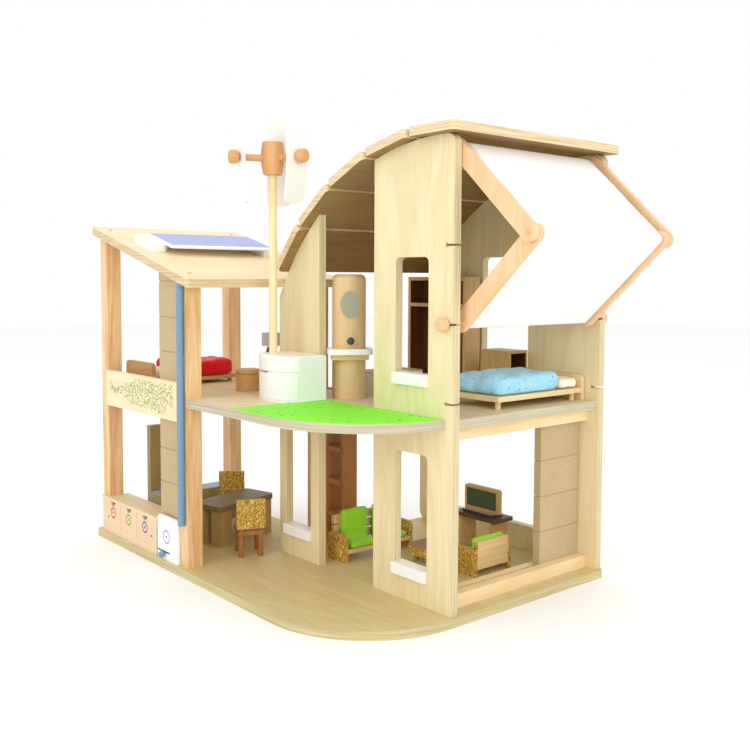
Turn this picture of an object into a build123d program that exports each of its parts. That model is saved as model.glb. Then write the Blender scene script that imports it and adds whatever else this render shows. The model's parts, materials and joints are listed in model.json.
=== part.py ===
from build123d import *
from math import acos, cos, degrees, radians, sin, sqrt, tan
import os

# Two-storey wooden dollhouse with an arched roof, a folding shade, a wind rotor and furniture.
# +X runs to the right along the front, +Y runs to the back, +Z is up.
# The origin is on the underside of the base board, below the front right corner of the tall wall.

# ---------------------------------------------------------------- driving sizes (mm)
ply = 12                      # thickness of base, floors, walls and roof boards
ground = ply                  # top of the base board
storey = ground + 250         # top of the upper floor
floor_under = storey - ply

house_left = -685             # left edge of the base board
house_right = 5               # right edge of the base board
front_edge = -167             # front edge of the base board
left_back = 105               # back edge of the base board behind the left rooms
right_back = 314              # back edge of the base board behind the arched rooms
step_x = -383                 # where the base board steps back, and the left end of the arch
back_wall_y = 300             # front face of the back wall

arch_x = -27                  # centre of the arch of the wall tops
arch_z = ground + 206.5
arch_radius = 400
slat_width = 82
slat_pitch = 12.3             # degrees from slat to slat
slat_front = -18
slat_back = 322

tall_wall_left = -152
mid_wall_left = -378
mid_wall_right = -276
sill_height = 32
window_height = 167
window_corner = 8
slot_heights = (270, 370, 469)   # above the ground floor
slot_depth = 12.5
slot_width = 2.8
slot_hole_radius = 2.6

post = 24
post_left = -675
post_right = -409
post_front = -158
post_back = 76
roof_slope = 0.27             # fall of the left roof towards the arch
roof_level = ground + 434     # height of the left roof's top face above roof_level_x
roof_level_x = -397
roof_left = -686
roof_right = -365
roof_front = -169
roof_rear = 111

pivot_x = -slot_depth         # shade pivots, straight above each other
pivot_top = ground + 592
pivot_bottom = ground + slot_heights[1]
elbow_x = 106
elbow_z = (pivot_top + pivot_bottom) / 2
arm_width = 22
arm_thick = 8
rod_radius = 4.5
running_gap = 0.05
cloth_thick = 1.6
cloth_from = 31
cloth_to = 281

pole_x = -325
pole_y = -48
pole_radius = 6
hub_radius = 17
hub_bottom = ground + 577
hub_height = 47
spoke_angles = (12, 132, 252)
spoke_radius = 5
blade_at = 49                 # distance of the blades from the pole
blade_height = 132
blade_width = 40
blade_thick = 3

os.makedirs("parts", exist_ok=True)


# ---------------------------------------------------------------- helpers
def keep(piece, name):
    """Label a finished piece and write its STEP file."""
    piece.part.label = name
    export_step(piece.part, f"parts/{name}.step")


def upright(y):
    """Drawing plane of a board that faces the front, with its back at y."""
    return Plane(origin=(0, y, 0), x_dir=(1, 0, 0), z_dir=(0, -1, 0))


def sideways(x):
    """Drawing plane of a board that faces the right, with its left face at x."""
    return Plane(origin=(x, 0, 0), x_dir=(0, 1, 0), z_dir=(1, 0, 0))


def block(x0, x1, y0, y1, z0, z1, mode=Mode.ADD):
    """Rectangular block between two corners."""
    with Locations(((x0 + x1) / 2, (y0 + y1) / 2, (z0 + z1) / 2)):
        Box(x1 - x0, y1 - y0, z1 - z0, mode=mode)


def rod_y(x, z, radius, y0, y1, mode=Mode.ADD):
    """Round rod along Y."""
    with Locations(Location((x, (y0 + y1) / 2, z), (90, 0, 0))):
        Cylinder(radius, y1 - y0, mode=mode)


def rod_x(y, z, radius, x0, x1, mode=Mode.ADD):
    """Round rod along X."""
    with Locations(Location(((x0 + x1) / 2, y, z), (0, 90, 0))):
        Cylinder(radius, x1 - x0, mode=mode)


def rod_z(x, y, radius, z0, z1, mode=Mode.ADD):
    """Round rod along Z."""
    with Locations((x, y, (z0 + z1) / 2)):
        Cylinder(radius, z1 - z0, mode=mode)


def rounded_slab(x0, x1, y0, y1, z0, z1, radius):
    """Flat slab with rounded corners in plan."""
    with BuildSketch(Plane.XY.offset(z0)) as outline:
        with Locations(((x0 + x1) / 2, (y0 + y1) / 2)):
            RectangleRounded(x1 - x0, y1 - y0, radius)
    extrude(outline.sketch, amount=z1 - z0)


def side_profile(x0, x1, y0, y1, z0, z1, radius):
    """Board seen from the side, with its two top corners rounded."""
    with BuildSketch(sideways(x0)) as profile:
        with Locations(((y0 + y1) / 2, (z0 + z1) / 2)):
            Rectangle(y1 - y0, z1 - z0)
        fillet(profile.vertices().group_by(Axis.Y)[-1], radius)
    extrude(profile.sketch, amount=x1 - x0)


def front_profile(x0, x1, y0, y1, z0, z1, radius):
    """Board seen from the front, with its two top corners rounded."""
    with BuildSketch(upright(y1)) as profile:
        with Locations(((x0 + x1) / 2, (z0 + z1) / 2)):
            Rectangle(x1 - x0, z1 - z0)
        fillet(profile.vertices().group_by(Axis.Y)[-1], radius)
    extrude(profile.sketch, amount=y1 - y0)


def roof_top(x):
    """Height of the left roof's top face at x."""
    return roof_level + roof_slope * (roof_level_x - x)


roof_fall = ply * sqrt(1 + roof_slope ** 2)      # the roof's thickness measured straight down


# ---------------------------------------------------------------- base and floors
with BuildPart() as base_board:
    with BuildSketch() as plan:
        with BuildLine():
            Polyline(
                (house_left, front_edge), (house_right, front_edge),
                (house_right, right_back), (step_x, right_back),
                (step_x, left_back), (house_left, left_back), close=True,
            )
        make_face()
        big_corner = plan.vertices().group_by(Axis.X)[-1].sort_by(Axis.Y)[0]
        fillet(big_corner, 160)
        small_corners = plan.vertices().group_by(Axis.X)[0] + plan.vertices().group_by(Axis.Y)[-1]
        fillet(small_corners, 7)
    extrude(amount=ply)
keep(base_board, "base_board")

terrace_right = -13
terrace_front = -158
terrace_radius = 157
inner_front = -152            # front edge of the upper floor inside the left room
stair_box = (-376, -326, 82, 150)


def notch_floor_for_uprights():
    """Cut the upper floor where the posts and the front walls pass through it."""
    z0 = floor_under - 1
    z1 = storey + 1
    for x in (post_left, post_right):
        for y in (post_front, post_back):
            block(x, x + post, y, y + post, z0, z1, Mode.SUBTRACT)
    block(mid_wall_left, mid_wall_right, 0, ply, z0, z1, Mode.SUBTRACT)
    block(tall_wall_left, 1, 0, ply, z0, z1, Mode.SUBTRACT)


with BuildPart() as upper_floor:
    with BuildSketch(Plane.XY.offset(floor_under)) as terrace:
        with BuildLine():
            Polyline(
                (post_right + post, terrace_front), (terrace_right, terrace_front),
                (terrace_right, 0), (post_right + post, 0), close=True,
            )
        make_face()
        fillet(terrace.vertices().group_by(Axis.X)[-1].sort_by(Axis.Y)[0], terrace_radius)
    extrude(amount=ply)
    block(post_left, post_right + post, inner_front, post_back + post + 4, floor_under, storey)
    block(step_x, -4, 0, back_wall_y, floor_under, storey)
    block(post_right + post, step_x, 0, post_back + post + 4, floor_under, storey)
    block(*stair_box, floor_under - 1, storey + 1, Mode.SUBTRACT)
    notch_floor_for_uprights()
keep(upper_floor, "upper_floor")

lawn_left = -264
lawn_inset = 2
with BuildPart() as lawn:
    with BuildSketch(Plane.XY.offset(storey)) as turf:
        with BuildLine():
            Polyline(
                (lawn_left, terrace_front + lawn_inset), (terrace_right - 3, terrace_front + lawn_inset),
                (terrace_right - 3, -1), (lawn_left, -1), close=True,
            )
        make_face()
        fillet(turf.vertices().group_by(Axis.X)[-1].sort_by(Axis.Y)[0], terrace_radius - lawn_inset)
    extrude(amount=0.8)
    block(lawn_left - 1, -257.8, -62, 1, storey - 1, storey + 2, Mode.SUBTRACT)
keep(lawn, "lawn")


# ---------------------------------------------------------------- walls of the arched rooms
def arched_board(x0, x1, y_back, corner):
    """Upright board whose top follows the arch."""
    with BuildSketch(upright(y_back)) as profile:
        with Locations(((x0 + x1) / 2, ground + 350)):
            Rectangle(x1 - x0, 700)
        with Locations((arch_x, arch_z)):
            Circle(arch_radius, mode=Mode.INTERSECT)
        if corner:
            fillet(profile.vertices().group_by(Axis.X)[-1].sort_by(Axis.Y)[-1], corner)
    extrude(profile.sketch, amount=ply)


def window(x0, x1, z0, z1, y_back):
    """Opening with rounded top corners."""
    with BuildSketch(upright(y_back)) as hole:
        with Locations(((x0 + x1) / 2, (z0 + z1) / 2)):
            Rectangle(x1 - x0, z1 - z0)
        fillet(hole.vertices().group_by(Axis.Y)[-1], window_corner)
    extrude(hole.sketch, amount=ply, mode=Mode.SUBTRACT)


def keyhole_slots(y0, y1):
    """Three slots, open at the right edge, that take the shade's clamp screws."""
    for height in slot_heights:
        z = ground + height
        block(pivot_x, 1, y0, y1, z - slot_width / 2, z + slot_width / 2, Mode.SUBTRACT)
        rod_y(pivot_x, z, slot_hole_radius, y0, y1, Mode.SUBTRACT)


pivot_hole_depth = 6
window_x = (-108, -45)
mid_window_x = (-360, -297)
lower_window = (ground + sill_height, ground + sill_height + window_height)
upper_window = (storey + sill_height + 6, storey + sill_height + 6 + window_height)

with BuildPart() as tall_front_wall:
    arched_board(tall_wall_left, 0, ply, 12)
    window(*window_x, *lower_window, ply)
    window(*window_x, *upper_window, ply)
    keyhole_slots(-1, ply + 1)
    rod_y(pivot_x, pivot_top, rod_radius + running_gap, ply - pivot_hole_depth, ply + 1, Mode.SUBTRACT)
keep(tall_front_wall, "tall_front_wall")

with BuildPart() as mid_front_wall:
    arched_board(mid_wall_left, mid_wall_right, ply, 0)
    window(*mid_window_x, *lower_window, ply)
    block(mid_wall_left - 1, roof_right + 0.5, -1, ply + 1, ground + 412.5, ground + 450, Mode.SUBTRACT)
keep(mid_front_wall, "mid_front_wall")

back_door_x = (-231, -134)
back_opening_x = (-360, -60)
with BuildPart() as back_wall:
    arched_board(mid_wall_left, 0, back_wall_y + ply, 12)
    window(*back_opening_x, ground + 38, ground + 210, back_wall_y + ply)
    window(*back_door_x, storey + 38, ground + 462, back_wall_y + ply)
    keyhole_slots(back_wall_y - 1, back_wall_y + ply + 1)
    rod_y(pivot_x, pivot_top, rod_radius + running_gap, back_wall_y - 1,
          back_wall_y + pivot_hole_depth, Mode.SUBTRACT)
keep(back_wall, "back_wall")


# ---------------------------------------------------------------- arched roof of five slats
for number in range(5):
    lean = slat_pitch * number
    slat_plane = Plane(
        origin=(arch_x - arch_radius * sin(radians(lean)), 0, arch_z + arch_radius * cos(radians(lean))),
        x_dir=(cos(radians(lean)), 0, sin(radians(lean))),
        z_dir=(-sin(radians(lean)), 0, cos(radians(lean))),
    )
    with BuildPart() as roof_slat:
        with BuildSketch(slat_plane):
            with Locations((0, (slat_front + slat_back) / 2)):
                RectangleRounded(slat_width, slat_back - slat_front, 7)
        extrude(amount=ply)
        fillet(roof_slat.faces().sort_by(Axis((0, 0, 0), tuple(slat_plane.z_dir)))[-1].edges(), 1.5)
    keep(roof_slat, f"roof_slat_{number + 1}")


# ---------------------------------------------------------------- left rooms: posts and roof
with BuildPart() as posts:
    for x in (post_left, post_right):
        for y in (post_front, post_back):
            with BuildSketch(upright(y + post)):
                with BuildLine():
                    Polyline(
                        (x, ground), (x + post, ground),
                        (x + post, roof_top(x + post) - roof_fall), (x, roof_top(x) - roof_fall),
                        close=True,
                    )
                make_face()
            extrude(amount=post)
    for x in (post_left, post_right):
        for y in (post_front, post_back):
            rod_z(x + post / 2, y + post / 2, 3, roof_top(x + post / 2) - roof_fall - 12,
                  roof_top(x) + 5, Mode.SUBTRACT)
keep(posts, "posts")

with BuildPart() as left_roof:
    with BuildSketch(upright(roof_rear)):
        with BuildLine():
            Polyline(
                (roof_left, roof_top(roof_left) - roof_fall), (roof_right, roof_top(roof_right) - roof_fall),
                (roof_right, roof_top(roof_right)), (roof_left, roof_top(roof_left)), close=True,
            )
        make_face()
    extrude(amount=roof_rear - roof_front)
    fillet(left_roof.edges().filter_by(lambda e: e.length < 14), 6)
    for x in (post_left, post_right):
        for y in (post_front, post_back):
            rod_z(x + post / 2, y + post / 2, 3, roof_top(x + post / 2) - 30, roof_top(x) + 9, Mode.SUBTRACT)
keep(left_roof, "left_roof")

facade_z = (ground + 215, ground + 273)
facade_y = (-162, -152)
with BuildPart() as dowel_pins:
    for x in (post_left, post_right):
        for y in (post_front, post_back):
            top = roof_top(x + post / 2)
            rod_z(x + post / 2, y + post / 2, 3, top - roof_fall - 12, top + 0.8)
    peg_z = (facade_z[0] + facade_z[1]) / 2
    peg_y = -145
    rod_x(peg_y, peg_z, 3, post_left - 0.8, post_left)
keep(dowel_pins, "dowel_pins")


# ---------------------------------------------------------------- grooved panels
panel_grooves = (65, 116, 168)   # heights above the ground floor


def grooves_across(x0, x1, y0, y1, heights):
    """Shallow saw cuts across both faces of a panel."""
    for z in heights:
        block(x0, x1, y0, y1, z - 0.8, z + 0.8, Mode.SUBTRACT)


left_panel_x = (-480, post_right)
left_panel_y = (-152, -152 + ply)
with BuildPart() as left_panels:
    block(*left_panel_x, *left_panel_y, ground, floor_under)
    with BuildSketch(upright(left_panel_y[1])):
        with BuildLine():
            Polyline(
                (left_panel_x[0], storey), (left_panel_x[1], storey),
                (left_panel_x[1], roof_top(left_panel_x[1]) - roof_fall),
                (left_panel_x[0], roof_top(left_panel_x[0]) - roof_fall), close=True,
            )
        make_face()
    extrude(amount=ply)
    cuts = [ground + h for h in panel_grooves] + [ground + h for h in (316, 368, 422)]
    grooves_across(left_panel_x[0] - 1, left_panel_x[1] + 1, left_panel_y[0] - 1, left_panel_y[0] + 1, cuts)
    grooves_across(left_panel_x[0] - 1, left_panel_x[1] + 1, left_panel_y[1] - 1, left_panel_y[1] + 1, cuts)
    grooves_across(left_panel_x[0] - 1, left_panel_x[0] + 1, left_panel_y[0] - 1, left_panel_y[1] + 1, cuts)
keep(left_panels, "left_panels")

panel_x = (-45, -33)
panel_y = (212, back_wall_y - 1)
panel_z = (ground + 4.5, ground + 233.5)
groove_gap = 0.3
with BuildPart() as sliding_panel:
    block(*panel_x, *panel_y, *panel_z)
    cuts = [ground + h for h in panel_grooves]
    grooves_across(panel_x[0] - 1, panel_x[0] + 1, panel_y[0] - 1, panel_y[1] + 1, cuts)
    grooves_across(panel_x[1] - 1, panel_x[1] + 1, panel_y[0] - 1, panel_y[1] + 1, cuts)
    grooves_across(panel_x[0] - 1, panel_x[1] + 1, panel_y[0] - 1, panel_y[0] + 1, cuts)
keep(sliding_panel, "sliding_panel")

track_y = (ply, back_wall_y)
track_outer = -19
track_inner = -58
with BuildPart() as side_tracks:
    block(track_inner, track_outer, *track_y, ground, ground + 4)
    block(panel_x[1] + groove_gap, track_outer, *track_y, ground, ground + 18)
    block(track_inner, panel_x[0] - groove_gap, *track_y, ground, ground + 14)
    block(track_inner, track_outer, *track_y, floor_under - 4, floor_under)
    block(panel_x[1] + groove_gap, track_outer, *track_y, ground + 220, floor_under)
    block(track_inner, panel_x[0] - groove_gap, *track_y, ground + 220, floor_under)
keep(side_tracks, "side_tracks")


# ---------------------------------------------------------------- front of the left rooms
with BuildPart() as living_wall:
    block(post_left + post, post_right, *facade_y, *facade_z)
keep(living_wall, "living_wall")

bin_right = -475
bin_front_y = -163
bin_back_y = -125
bin_wall = 5
bin_lid = 5
bin_height = 60
notch_centres = (-629, -571, -514)
with BuildPart() as bin_front:
    block(post_left + 7, bin_right, bin_front_y, bin_front_y + bin_wall, ground, ground + bin_height - bin_lid)
    for x in notch_centres:
        rod_y(x, ground + bin_height - bin_lid, 8, bin_front_y - 1, bin_front_y + bin_wall + 1, Mode.SUBTRACT)
keep(bin_front, "bin_front")

with BuildPart() as bin_box:
    rounded_slab(post_left + 6, bin_right + 1, bin_front_y - 1.5, bin_back_y,
                 ground + bin_height - bin_lid, ground + bin_height, 3)
    block(post_left - 1, post_left + post, post_front, bin_back_y + 5, ground, ground + bin_height + 1, Mode.SUBTRACT)
    block(post_left + post, post_left + post + bin_wall, bin_front_y + bin_wall, bin_back_y,
          ground, ground + bin_height - bin_lid)
    block(bin_right - bin_wall - 6, bin_right - 6, bin_front_y + bin_wall, bin_back_y,
          ground, ground + bin_height - bin_lid)
    block(post_left + post + bin_wall, bin_right - bin_wall - 6, bin_back_y - 3, bin_back_y,
          ground, ground + bin_height - bin_lid)
    block(left_panel_x[0] - 0.3, bin_right + 5, left_panel_y[0] - 0.3, bin_back_y + 5,
          ground, ground + bin_height + 1, Mode.SUBTRACT)
keep(bin_box, "bin_box")

with BuildPart() as brass_nails:
    for x in (-646, -491):
        rod_y(x, ground + 27, 1.6, bin_front_y - 0.8, bin_front_y)
keep(brass_nails, "brass_nails")

barrel_x = (-473, -410)
barrel_y = (-163, -152.2)
barrel_height = 66
with BuildPart() as rain_barrel:
    block(*barrel_x, *barrel_y, ground, ground + barrel_height)
    fillet(rain_barrel.faces().sort_by(Axis.Z)[-1].edges(), 5)
    fillet(rain_barrel.edges().filter_by(Axis.Z).group_by(Axis.Y)[0], 3)
keep(rain_barrel, "rain_barrel")

tap_x = -449
tap_z = ground + 9
with BuildPart() as barrel_tap:
    with Locations((tap_x, barrel_y[0] - 5.1, tap_z)):
        Sphere(5)
    rod_y(tap_x, tap_z, 2, barrel_y[0] - 4, barrel_y[0])
keep(barrel_tap, "barrel_tap")

pipe_x = -395
pipe_radius = 5.2
pipe_y = post_front - pipe_radius
pipe_bottom = ground + 63
with BuildPart() as downpipe:
    rod_z(pipe_x, pipe_y, pipe_radius, pipe_bottom, roof_top(pipe_x) - roof_fall - 2)
    fillet(downpipe.faces().sort_by(Axis.Z)[0].edges(), 1)
keep(downpipe, "downpipe")


# ---------------------------------------------------------------- solar panel on the left roof
roof_angle = degrees(acos(1 / sqrt(1 + roof_slope ** 2)))
solar_left = -587             # upper edge of the solar panel
solar_length = 93             # along the slope
solar_tank_y = (-145, -112)
solar_tank_length = 69
solar_sheet_y = (-122, 78)
solar_tank_height = 12
sheet_thick = 2.4
solar_plane = Plane(
    origin=(solar_left, 0, roof_top(solar_left)),
    x_dir=(cos(radians(roof_angle)), 0, -sin(radians(roof_angle))),
    z_dir=(sin(radians(roof_angle)), 0, cos(radians(roof_angle))),
)
with BuildPart() as solar_panel:
    with BuildSketch(solar_plane):
        with Locations((solar_tank_length / 2, (solar_tank_y[0] + solar_tank_y[1]) / 2)):
            RectangleRounded(solar_tank_length, solar_tank_y[1] - solar_tank_y[0], 12)
        with Locations((solar_length / 2, solar_sheet_y[1] - 14)):
            RectangleRounded(solar_length - 8, 24, 4)
    extrude(amount=solar_tank_height)
    with BuildSketch(solar_plane.offset(solar_tank_height)):
        with Locations((solar_length / 2, (solar_sheet_y[0] + solar_sheet_y[1]) / 2)):
            Rectangle(solar_length, solar_sheet_y[1] - solar_sheet_y[0])
    extrude(amount=sheet_thick)
keep(solar_panel, "solar_panel")


# ---------------------------------------------------------------- cabinet and wind rotor
cabinet_x = (-350, -258)
cabinet_back = -1
cabinet_front_left = -56
cabinet_front_mid = -73
cabinet_front_right = -60
cabinet_top = storey + 66
door_z = (storey + 3, storey + 43)
door_inner = cabinet_front_left + 6
hinge_x = -346.5
hinge_y = -52.9
hinge_pin = 1.2


def cabinet_plan(inset):
    """Plan of the cabinet: square back and a bowed front, moved in by inset."""
    with BuildLine() as outline:
        left = cabinet_x[0] + inset
        right = cabinet_x[1] - inset
        back = cabinet_back - inset
        middle = (left + right) / 2
        Line((left, back), (left, cabinet_front_left + inset))
        ThreePointArc((left, cabinet_front_left + inset), (middle, cabinet_front_mid + inset),
                      (right, cabinet_front_right + inset))
        Line((right, cabinet_front_right + inset), (right, back))
        Line((right, back), (left, back))
    make_face(outline.edges())


with BuildPart() as cabinet_body:
    with BuildSketch(Plane.XY.offset(storey)) as plan:
        cabinet_plan(0)
        fillet(plan.vertices().group_by(Axis.X)[-1].sort_by(Axis.Y)[0], 24)
    extrude(amount=cabinet_top - storey)
    fillet(cabinet_body.faces().sort_by(Axis.Z)[-1].edges(), 2.5)
    block(cabinet_x[0] + 6, cabinet_x[1] - 6, -30, cabinet_back - 5, storey + 5, door_z[1] - 2, Mode.SUBTRACT)
    block(cabinet_x[0] + 6, cabinet_x[1] - 6, -90, -29, door_z[0] - 0.4, door_z[1] + 0.4, Mode.SUBTRACT)
    block(cabinet_x[0] - 1, cabinet_x[1] + 1, -90, door_inner + 0.4, door_z[0] - 0.4, door_z[1] + 0.4,
          Mode.SUBTRACT)
    rod_z(pole_x, pole_y, pole_radius, cabinet_top - 12, cabinet_top + 1, Mode.SUBTRACT)
    rod_z(hinge_x, hinge_y, 4.8, door_z[0] - 0.4, door_z[1] + 0.4, Mode.SUBTRACT)
    rod_z(hinge_x, hinge_y, hinge_pin, storey + 1, door_z[1] + 3)
keep(cabinet_body, "cabinet_body")

with BuildPart() as cabinet_door:
    with BuildSketch(Plane.XY.offset(door_z[0])) as plan:
        cabinet_plan(0)
        fillet(plan.vertices().group_by(Axis.X)[-1].sort_by(Axis.Y)[0], 24)
    extrude(amount=door_z[1] - door_z[0])
    block(cabinet_x[0] - 1, cabinet_x[1] + 1, door_inner, 0, door_z[0] - 1, door_z[1] + 1,
          Mode.SUBTRACT)
    block(cabinet_x[0] + 6, cabinet_x[0] + 48, -90, cabinet_front_left - 1, door_z[1] - 2.2, door_z[1] + 1,
          Mode.SUBTRACT)
    rod_z(hinge_x, hinge_y, hinge_pin + running_gap, door_z[0] - 1, door_z[1] + 1, Mode.SUBTRACT)
keep(cabinet_door, "cabinet_door")

pole_top = hub_bottom + 32
with BuildPart() as turbine_pole:
    rod_z(pole_x, pole_y, pole_radius, cabinet_top - 12, pole_top)
keep(turbine_pole, "turbine_pole")

spoke_z = hub_bottom + hub_height / 2
spoke_root = hub_radius - 6
spoke_tip = 58


def spoke_frame(angle):
    """Plane on the pole's axis whose normal points along a spoke."""
    return Plane(
        origin=(pole_x, pole_y, spoke_z),
        x_dir=(-sin(radians(angle)), cos(radians(angle)), 0),
        z_dir=(cos(radians(angle)), sin(radians(angle)), 0),
    )


with BuildPart() as rotor_hub:
    with BuildSketch(Plane(origin=(pole_x, pole_y, hub_bottom), x_dir=(1, 0, 0), z_dir=(0, -1, 0))):
        with BuildLine():
            Line((0, 0), (hub_radius - 3.5, 0))
            ThreePointArc((hub_radius - 3.5, 0), (hub_radius, hub_height * 0.45), (hub_radius - 2, hub_height))
            Line((hub_radius - 2, hub_height), (0, hub_height))
            Line((0, hub_height), (0, 0))
        make_face()
    revolve(axis=Axis((pole_x, pole_y, 0), (0, 0, 1)))
    rod_z(pole_x, pole_y, pole_radius + running_gap, hub_bottom - 1, pole_top + 0.3, Mode.SUBTRACT)
    for angle in spoke_angles:
        with BuildSketch(spoke_frame(angle).offset(spoke_root)):
            Circle(spoke_radius)
        extrude(amount=20, mode=Mode.SUBTRACT)
keep(rotor_hub, "rotor_hub")

with BuildPart() as rotor_pegs:
    for angle in spoke_angles:
        with BuildSketch(spoke_frame(angle).offset(spoke_root)):
            Circle(spoke_radius)
        extrude(amount=spoke_tip - spoke_root)
        frame = spoke_frame(angle)
        with Locations(Location(frame.offset(spoke_tip))):
            Cylinder(10, 14)
        knob_rims = rotor_pegs.edges().filter_by(GeomType.CIRCLE).filter_by(lambda e: abs(e.radius - 10) < 0.01)
        fillet(knob_rims, 4)
keep(rotor_pegs, "rotor_pegs")

blade_bow = 8                 # how far the blade's ends lean in towards the pole
with BuildPart() as rotor_blades:
    for angle in spoke_angles:
        radial = (cos(radians(angle)), sin(radians(angle)), 0)
        across = (-sin(radians(angle)), cos(radians(angle)), 0)
        bow_plane = Plane(origin=(pole_x, pole_y, spoke_z), x_dir=radial, z_dir=across)
        up = 1 if bow_plane.y_dir.Z > 0 else -1
        half = (blade_height / 2 + 4) * up
        with BuildSketch(bow_plane.offset(-blade_width / 2 - 4)):
            with BuildLine():
                ThreePointArc((blade_at - blade_bow, -half), (blade_at, 0), (blade_at - blade_bow, half))
                Line((blade_at - blade_bow, half), (blade_at - blade_bow - blade_thick, half))
                ThreePointArc((blade_at - blade_bow - blade_thick, half), (blade_at - blade_thick, 0),
                              (blade_at - blade_bow - blade_thick, -half))
                Line((blade_at - blade_bow - blade_thick, -half), (blade_at - blade_bow, -half))
            make_face()
        extrude(amount=blade_width + 8)
        with BuildSketch(spoke_frame(angle).offset(blade_at - 20)):
            Circle(spoke_radius)
            Rectangle(blade_width + 20, blade_height + 20)
            RectangleRounded(blade_width, blade_height, 13, mode=Mode.SUBTRACT)
            Circle(spoke_radius)
        extrude(amount=24, mode=Mode.SUBTRACT)
keep(rotor_blades, "rotor_blades")


# ---------------------------------------------------------------- planters
planter_height = 16
with BuildPart() as planters:
    places = (
        (window_x[0] + 0.3, lower_window[0]),
        (window_x[0] + 0.3, upper_window[0]),
        (mid_window_x[0] + 0.1, lower_window[0]),
    )
    for x, z in places:
        block(x, x + 62.4, -7, 15, z, z + planter_height)
    fillet(planters.edges().filter_by(Axis.X), 2)
keep(planters, "planters")


# ---------------------------------------------------------------- folding shade
reach = sqrt((elbow_x - pivot_x) ** 2 + (pivot_top - elbow_z) ** 2)
arm_lean = degrees(acos((pivot_top - elbow_z) / reach))
front_arm_y = ply + 1
back_arm_y = back_wall_y - 1 - arm_thick
arm_step = arm_thick + 1


def arm_plane(x, z, lean, y):
    """Plane of an arm: local x runs from its first pivot to its second one."""
    return Plane(origin=(x, y, z), x_dir=(sin(radians(lean)), 0, -cos(radians(lean))), z_dir=(0, 1, 0))


def arm(x, z, lean, y, first_hole, second_hole):
    """Flat arm with round ends and a hole at each pivot."""
    plane = arm_plane(x, z, lean, y)
    with BuildSketch(plane) as outline:
        with Locations((reach / 2, 0)):
            SlotCenterToCenter(reach, arm_width)
        with Locations((0, 0)):
            Circle(first_hole, mode=Mode.SUBTRACT)
        with Locations((reach, 0)):
            Circle(second_hole, mode=Mode.SUBTRACT)
    extrude(outline.sketch, amount=arm_thick)


with BuildPart() as upper_arms:
    for y in (front_arm_y, back_arm_y):
        arm(pivot_x, pivot_top, arm_lean, y, rod_radius, rod_radius)
keep(upper_arms, "upper_arms")

with BuildPart() as lower_arms:
    for y in (front_arm_y + arm_step, back_arm_y - arm_step):
        arm(elbow_x, elbow_z, -arm_lean, y, rod_radius + running_gap, rod_radius)
keep(lower_arms, "lower_arms")

with BuildPart() as upper_rods:
    rod_y(pivot_x, pivot_top, rod_radius, ply - pivot_hole_depth + 0.5, back_wall_y + pivot_hole_depth - 0.5)
    rod_y(elbow_x, elbow_z, rod_radius, ply + 0.6, back_wall_y - 0.6)
keep(upper_rods, "upper_rods")

with BuildPart() as bottom_rod:
    rod_y(pivot_x, pivot_bottom, rod_radius, ply + 1, back_wall_y - 1)
keep(bottom_rod, "bottom_rod")

cloth_off = rod_radius + 0.4
cloth_margin = 6


def cloth_slab(x, z, lean, out):
    """Flat stretch of cloth on the outer side of a pair of arms."""
    plane = arm_plane(x, z, lean, cloth_from)
    with BuildSketch(plane) as outline:
        with Locations((reach / 2, out * (cloth_off + cloth_thick / 2))):
            Rectangle(reach - 2 * cloth_margin, cloth_thick)
    extrude(outline.sketch, amount=cloth_to - cloth_from)


upper_side = 1 if arm_plane(0, 0, arm_lean, 0).y_dir.X > 0 else -1
lower_side = 1 if arm_plane(0, 0, -arm_lean, 0).y_dir.X > 0 else -1
with BuildPart() as shade_cloth_upper:
    cloth_slab(pivot_x, pivot_top, arm_lean, upper_side)
keep(shade_cloth_upper, "shade_cloth_upper")

with BuildPart() as shade_cloth_lower:
    cloth_slab(elbow_x, elbow_z, -arm_lean, lower_side)
keep(shade_cloth_lower, "shade_cloth_lower")

screw_radius = 1.3
clamp_parts = (("clamp_front", -1, 0), ("clamp_back", 1, back_wall_y + ply))
for name, way, face in clamp_parts:
    with BuildPart() as clamp:
        knob_mid = face + way * 7.5
        with Locations(Location((pivot_x, knob_mid, pivot_bottom), (90, 0, 0))):
            Cylinder(8.5, 14)
        fillet(clamp.edges().filter_by(GeomType.CIRCLE), 4)
        inner = face - way * (ply - 0.6)
        rod_y(pivot_x, pivot_bottom, screw_radius, min(knob_mid, inner), max(knob_mid, inner))
    keep(clamp, name)


# ---------------------------------------------------------------- furniture helpers
def local_block(frame, x0, x1, y0, y1, z0, z1, mode=Mode.ADD):
    """Rectangular block in the frame of a piece of furniture."""
    with Locations(frame * Location(((x0 + x1) / 2, (y0 + y1) / 2, (z0 + z1) / 2))):
        Box(x1 - x0, y1 - y0, z1 - z0, mode=mode)


def local_leg(frame, x, y, radius, z0, z1):
    """Round leg in the frame of a piece of furniture."""
    with Locations(frame * Location((x, y, (z0 + z1) / 2))):
        Cylinder(radius, z1 - z0)


def pad(x0, x1, y0, y1, z0, z1, corner, edge):
    """Soft pad with rounded corners and edges."""
    rounded_slab(x0, x1, y0, y1, z0, z1, corner)
    context = BuildPart._get_context()
    newest = context.solids().sort_by_distance(Vertex((x0 + x1) / 2, (y0 + y1) / 2, (z0 + z1) / 2))[0]
    rims = newest.faces().sort_by(Axis.Z)[-1].edges() + newest.faces().sort_by(Axis.Z)[0].edges()
    fillet(rims, edge)


def feet(x0, x1, y0, y1, radius, z0, z1, inset):
    """Four round feet near the corners of a rectangle."""
    for x in (x0 + inset, x1 - inset):
        for y in (y0 + inset, y1 - inset):
            rod_z(x, y, radius, z0, z1)


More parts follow.
